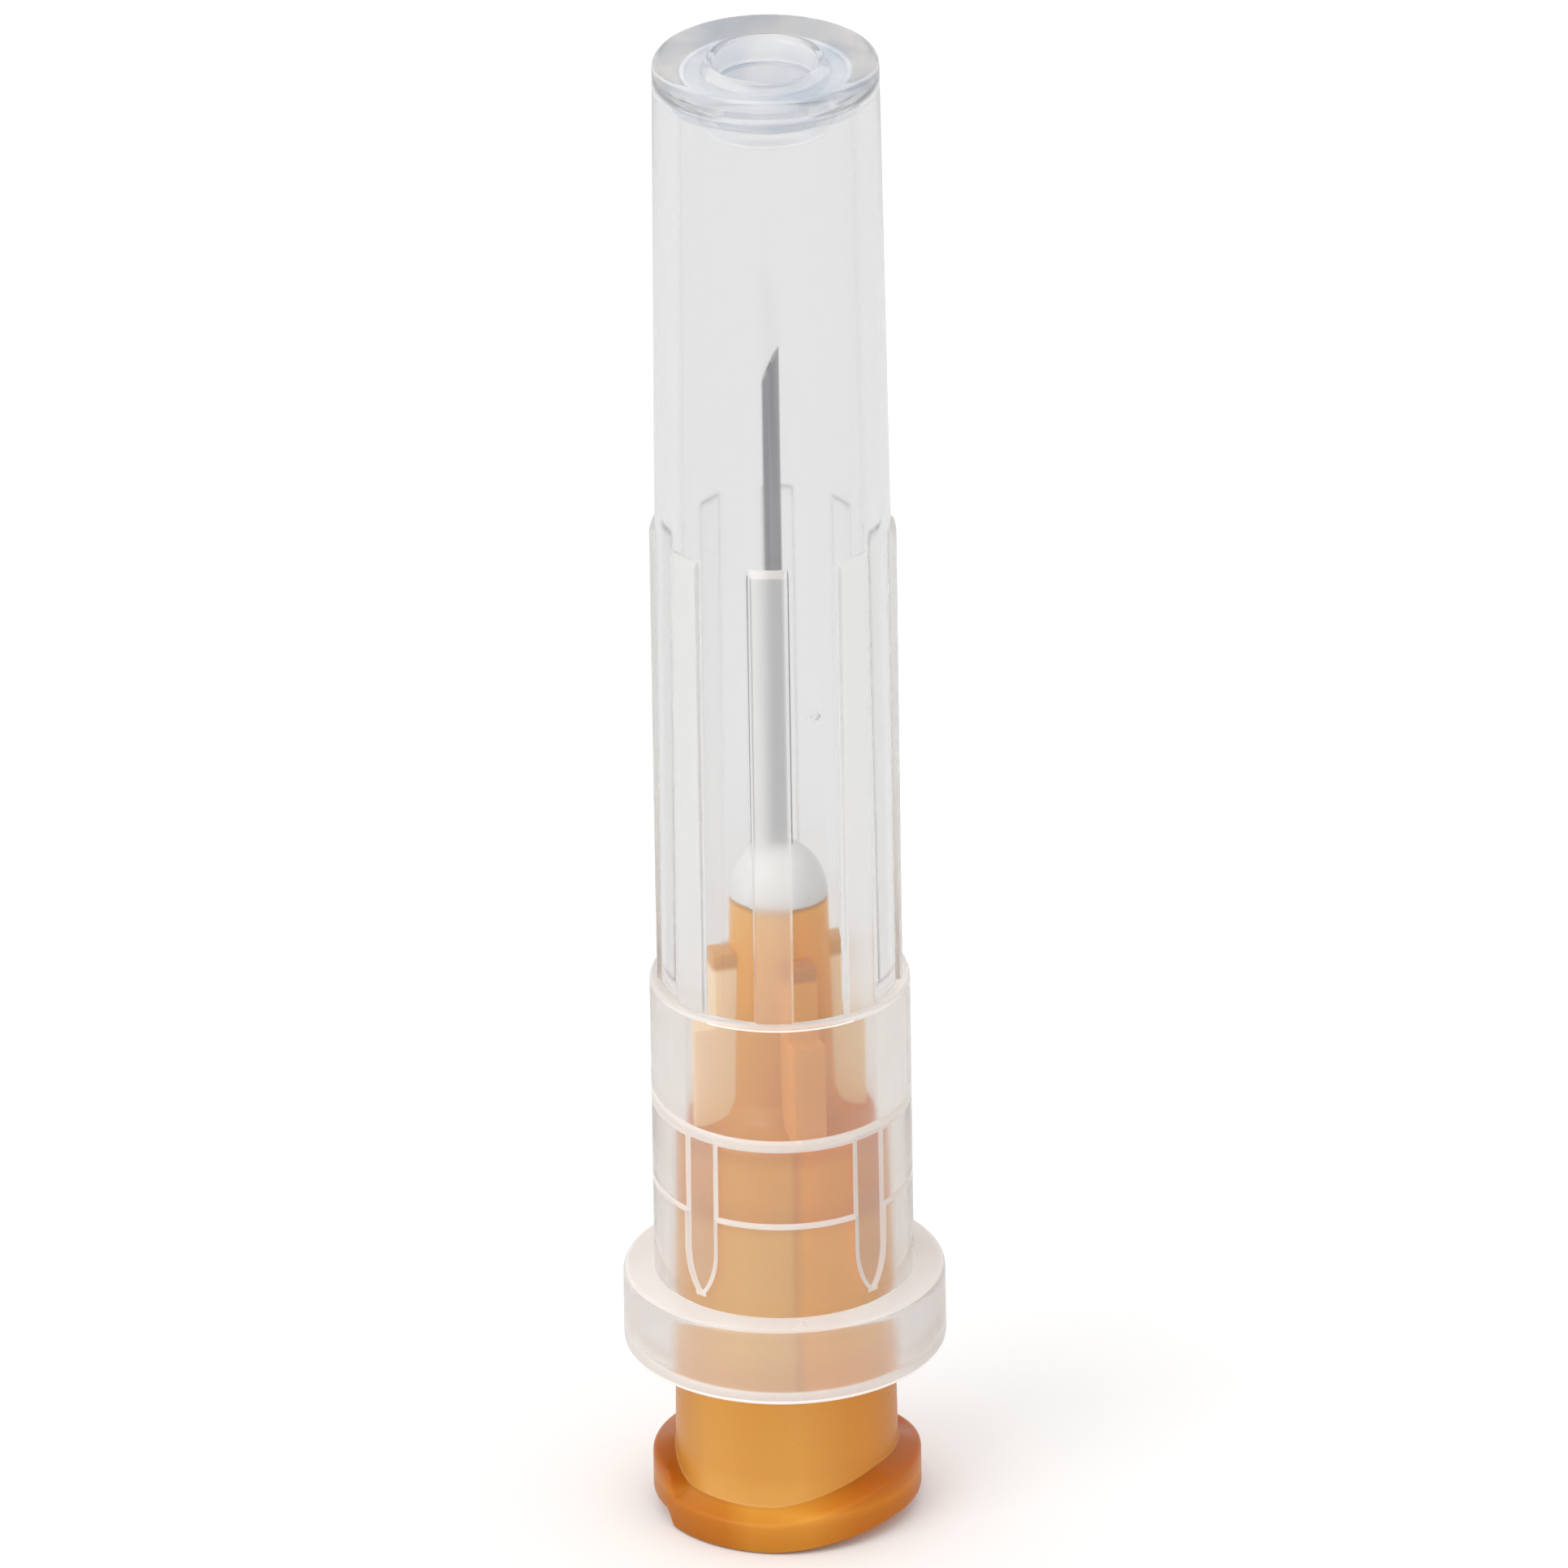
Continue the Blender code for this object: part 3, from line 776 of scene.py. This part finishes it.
inner_corners = [(lower_bore_r, z, 0) for z in grip_rows] + [
    (lower_bore_r, ring_z - 0.12 * mm, 0),
    (lower_bore_r, ring_z, 0.07 * mm),
    (upper_bore_r, ring_z, 0.07 * mm),
    (upper_bore_r, ring_z + 0.10 * mm, 0),
    (upper_bore_r, ring_z + 0.6 * mm, 0),
    (upper_bore_r, ledge_z - 0.4 * mm, 0),
    (upper_bore_r, ledge_z - 0.13 * mm, 0),
    (upper_bore_r, ledge_z, 0.08 * mm),
    (body_bore_r, ledge_z, 0.10 * mm),
    (bore_top_r, ceiling_z, 0.30 * mm),
    (boss_r, ceiling_z, 0.10 * mm),
    (boss_r, boss_z, 0.18 * mm),
    (0, boss_z, 0),
]
whole_line = rounded(outer_corners + body_corners + inner_corners, 6)
mouth_step = max(n for n, (r, z) in enumerate(whole_line) if z < mouth_z + 1e-9)
clear_slot, collar_slot, rib_slot, milky_slot = range(4)
highlight_band_slot, highlight_line_slot, end_slot, well_slot = range(4, 8)

front = math.radians(270)
shoulder_highlight_reach = math.radians(20)
shoulder_highlight_height = 0.24 * mm
end_round = 0.30 * mm
ceiling_round = 0.31 * mm
collar_round = 0.31 * mm
rim_highlight_reach = math.radians(34)
rim_highlight_drop = 0.13 * mm
flange_band_low_z = flange_top_z - 0.05 * mm
flange_band_top_z = flange_top_z + 0.02 * mm
mouth_round = 0.20 * mm
mouth_line_z = mouth_z + 0.05 * mm
ring_line = 0.17 * mm
ledge_line_z = ledge_z - 0.10 * mm
ledge_clear_z = ledge_z + 0.12 * mm


def outer_slot(r, z, turn):
    """Which finish the outside has: rounded edges show as pale bands and thin lines, frosted
    edges with painted highlights. On the front alone the collar's rim carries a painted
    highlight line, and the top of the front rib a painted highlight band.
    """
    if r < gate_mouth_r + 0.02 * mm:
        return well_slot
    if z > cap_top_z - end_round:
        return end_slot
    across = abs(from_nearest(turn, rib_turn, rib_count)) * rib_r
    off_front = abs(turn - front)
    if collar_top_z + hair < z < rib_top_z and across < (rib_width + rib_edge) / 2:
        # On the front rib alone, its top is a painted highlight band.
        shoulder_highlight = off_front < shoulder_highlight_reach and z > rib_top_z - shoulder_highlight_height
        return highlight_band_slot if shoulder_highlight else rib_slot
    if collar_top_z - collar_round < z < collar_top_z + hair:
        # On the front alone, the collar's rim carries a painted highlight line.
        on_rim_highlight = off_front < rim_highlight_reach and z < collar_top_z - rim_highlight_drop
        return highlight_line_slot if on_rim_highlight else highlight_band_slot
    if z > collar_top_z:
        return clear_slot
    if z > flange_band_top_z:
        return collar_slot
    if z > flange_band_low_z:
        return highlight_band_slot
    return highlight_line_slot if z < mouth_z + mouth_round else milky_slot


def inner_slot(z, turn):
    """Which finish the bore has: its steps and the grip ribs' outlines are bright lines,
    frosted edges with painted highlights.
    """
    if z > ceiling_z - ceiling_round:
        return well_slot
    if z > ledge_clear_z:
        return clear_slot
    if z < mouth_line_z or z > ledge_line_z:
        return highlight_line_slot
    relief, shift, off = grip_relief(turn, z)
    if z > grip_foot_z - grip_edge and abs(off) < grip_line / 2:
        return highlight_line_slot
    if relief > 0.5:
        return milky_slot
    return highlight_line_slot if abs(z - ring_z) < ring_line / 2 else clear_slot


def sheath_slot(step, turn):
    """The finish at the middle of one step of the whole line."""
    r = (whole_line[step][0] + whole_line[step + 1][0]) / 2
    z = (whole_line[step][1] + whole_line[step + 1][1]) / 2
    return outer_slot(r, z, turn) if step < mouth_step else inner_slot(z, turn)


def sheath_line(turn):
    """The sheath's section: gate well, body and ribs, flange, mouth, bore and boss."""
    line = []
    for number, (r, z) in enumerate(whole_line):
        if number <= mouth_step:
            line.append((outer_radius(turn, r, z), z, 0))
        else:
            line.append(inner_point(turn, r, z))
    return line


sheath_turns = around(144)
wanted = []
for number in range(rib_count):
    middle = rib_turn + number * math.tau / rib_count
    for side in (-1, 1):
        for step in range(6):
            across = rib_width / 2 - rib_edge / 2 + rib_edge * step / 5
            wanted.append((middle + side * across / rib_r) % math.tau)
for number in range(grip_count):
    middle = grip_turn + number * math.tau / grip_count
    for side in (-1, 1):
        for step in range(9):
            across = grip_width / 2 - grip_line / 2 + grip_line * step / 8
            wanted.append((middle + side * across / lower_bore_r) % math.tau)
fine_gap = math.radians(0.16)
plain_gap = 0.012
kept = []
for turn in sorted(wanted):
    if not kept or turn - kept[-1] > fine_gap:
        kept.append(turn)
for turn in sheath_turns:
    gaps = [abs((turn - other + math.pi) % math.tau - math.pi) for other in kept]
    if min(gaps) > plain_gap:
        kept.append(turn)
sheath = skin("sheath_moulding", kept, sheath_line, slot_at=sheath_slot)


def polypropylene(name, colour, clearness, low, high, shine=0.5, painted_glow=0, cloud=None):
    """One finish of the same plastic: how clear it is, and how rough the mould left it.

    A painted glow stands in for the light that the wall carries to its edges; cloud is a
    second tint in random patches."""
    made, tree, shader = new_material(
        name,
        Base_Color=(*colour, 1),
        Transmission_Weight=clearness,
        IOR=1.49,
        Specular_IOR_Level=shine,
        Emission_Color=(1.0, 0.97, 0.93, 1),
        Emission_Strength=painted_glow,
    )
    if cloud:
        flow = noise(tree, 420, (1, 1, 1), 2.0)
        tint = ramp(tree, flow, [(0.40, cloud), (0.60, colour)])
        tree.links.new(tint, shader.inputs["Base Color"])
    haze = noise(tree, 900, (1, 1, 0.12), 4.0)
    tree.links.new(levels(tree, haze, low, high), shader.inputs["Roughness"])
    sheath.data.materials.append(made)
    return tree, shader


def scuff(tree, shader, place, reach, depth):
    """A small scrape in the surface, within its reach of one place on the piece."""
    here = tree.nodes.new("ShaderNodeTexCoord")
    gap = tree.nodes.new("ShaderNodeVectorMath")
    gap.operation = "DISTANCE"
    gap.inputs[1].default_value = place
    near = tree.nodes.new("ShaderNodeMapRange")
    near.inputs["From Min"].default_value = reach
    near.inputs["From Max"].default_value = reach / 3
    tree.links.new(here.outputs["Object"], gap.inputs[0])
    tree.links.new(gap.outputs["Value"], near.inputs["Value"])
    torn = tree.nodes.new("ShaderNodeMath")
    torn.operation = "MULTIPLY"
    tree.links.new(near.outputs["Result"], torn.inputs[0])
    tree.links.new(noise(tree, 6000, (1, 1, 0.6), 3.0), torn.inputs[1])
    bump(tree, shader, torn.outputs["Value"], depth, 1.0)


clear_tree, clear_shader = polypropylene(
    "polypropylene_clear", (0.99, 0.99, 0.993), 0.97, 0.07, 0.11
)
scuff_place = (1.07 * mm, -3.24 * mm, 26.6 * mm)
scuff(clear_tree, clear_shader, scuff_place, 0.22 * mm, 0.12 * mm)
polypropylene(
    "polypropylene_collar",
    (0.98, 0.94, 0.90),
    0.90,
    0.09,
    0.13,
    cloud=(0.96, 0.905, 0.855),
)
polypropylene("polypropylene_ribs", (0.99, 0.985, 0.97), 0.88, 0.30, 0.36, painted_glow=0.03)
polypropylene(
    "polypropylene_milky",
    (0.965, 0.94, 0.92),
    0.79,
    0.18,
    0.24,
    cloud=(0.925, 0.90, 0.885),
)
# Pale bands: frosted edges with painted highlights and a faint painted glow.
polypropylene(
    "polypropylene_highlight_bands",
    (0.99, 0.955, 0.93),
    0.55,
    0.22,
    0.30,
    shine=0.25,
    painted_glow=0.04,
)
# Bright lines: nearly white frosted edges with painted highlights and a painted glow.
polypropylene(
    "polypropylene_highlight_lines",
    (1.0, 0.97, 0.945),
    0.12,
    0.22,
    0.30,
    shine=0.08,
    painted_glow=0.12,
)
# The end is bluish grey with darker bluish patches: painted reflections.
polypropylene(
    "polypropylene_end",
    (0.93, 0.95, 0.97),
    0.72,
    0.14,
    0.22,
    cloud=(0.66, 0.72, 0.81),
)
# The gate well is bluish grey with darker bluish patches: painted reflections.
polypropylene(
    "polypropylene_well",
    (0.96, 0.965, 0.98),
    0.84,
    0.10,
    0.16,
    cloud=(0.70, 0.75, 0.83),
)
# The wall is thin and clear, so it throws no shadow of its own on the hub or floor.
sheath.visible_shadow = False
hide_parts("needle_cap")
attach(sheath, "cap")


# The stage: a plain pale floor under a white room, one broad soft light from the
# left and front, and a long lens that looks down at the photograph's angle.
floor_radius = 3.0
floor_lit = 0.76
floor_seen = 1.0
room_light = 0.96
light_target = Vector((0, 0, 0.022))
lens_length = 622.2
camera_distance = 0.780
camera_height_angle = math.radians(25.5)
camera_lean = math.radians(-0.90)
camera_target = Vector((0.21 * mm, 0, 22.94 * mm))

floor_shape = bmesh.new()
bmesh.ops.create_circle(floor_shape, cap_ends=True, segments=96, radius=floor_radius)
floor_data = bpy.data.meshes.new("floor")
floor_shape.to_mesh(floor_data)
floor_shape.free()
floor = bpy.data.objects.new("floor", floor_data)
bpy.context.scene.collection.objects.link(floor)
paper, paper_tree, paper_shader = new_material(
    "white_paper", Roughness=1.0, Specular_IOR_Level=0.0
)
# The floor shows as plain white and gives back a little less light than that.
sight = paper_tree.nodes.new("ShaderNodeLightPath")
paper_stops = [(0, (floor_lit,) * 3), (1, (floor_seen,) * 3)]
paper_colour = ramp(paper_tree, sight.outputs["Is Camera Ray"], paper_stops)
paper_tree.links.new(paper_colour, paper_shader.inputs["Base Color"])
floor.data.materials.append(paper)

room = bpy.data.worlds.new("white_room")
room.use_nodes = True
backdrop = room.node_tree.nodes["Background"]
backdrop.inputs["Color"].default_value = (1, 1, 1, 1)
backdrop.inputs["Strength"].default_value = room_light
bpy.context.scene.world = room


def soft_light(name, place, size, power):
    """A square soft light that faces the middle of the object."""
    lamp = bpy.data.lights.new(name, "AREA")
    lamp.size = size
    lamp.energy = power
    made = bpy.data.objects.new(name, lamp)
    made.location = place
    towards = light_target - Vector(place)
    made.rotation_euler = towards.to_track_quat("-Z", "Y").to_euler()
    bpy.context.scene.collection.objects.link(made)


soft_light("left_light", (-0.9, -0.75, 0.95), 0.9, 4.9)

look = Vector((0, math.cos(camera_height_angle), -math.sin(camera_height_angle)))
level = Vector((1, 0, 0))
upright = level.cross(look)
right = math.cos(camera_lean) * level + math.sin(camera_lean) * upright
up = -math.sin(camera_lean) * level + math.cos(camera_lean) * upright
camera_data = bpy.data.cameras.new("camera")
camera_data.lens = lens_length
camera = bpy.data.objects.new("camera", camera_data)
turned = Matrix((right, up, -look)).transposed().to_4x4()
camera.matrix_world = Matrix.Translation(camera_target - look * camera_distance) @ turned
bpy.context.scene.collection.objects.link(camera)
bpy.context.scene.camera = camera

bpy.context.scene.view_settings.view_transform = "Standard"
light_paths = bpy.context.scene.cycles
light_paths.max_bounces = 40
light_paths.transmission_bounces = 40
light_paths.glossy_bounces = 40
light_paths.diffuse_bounces = 6
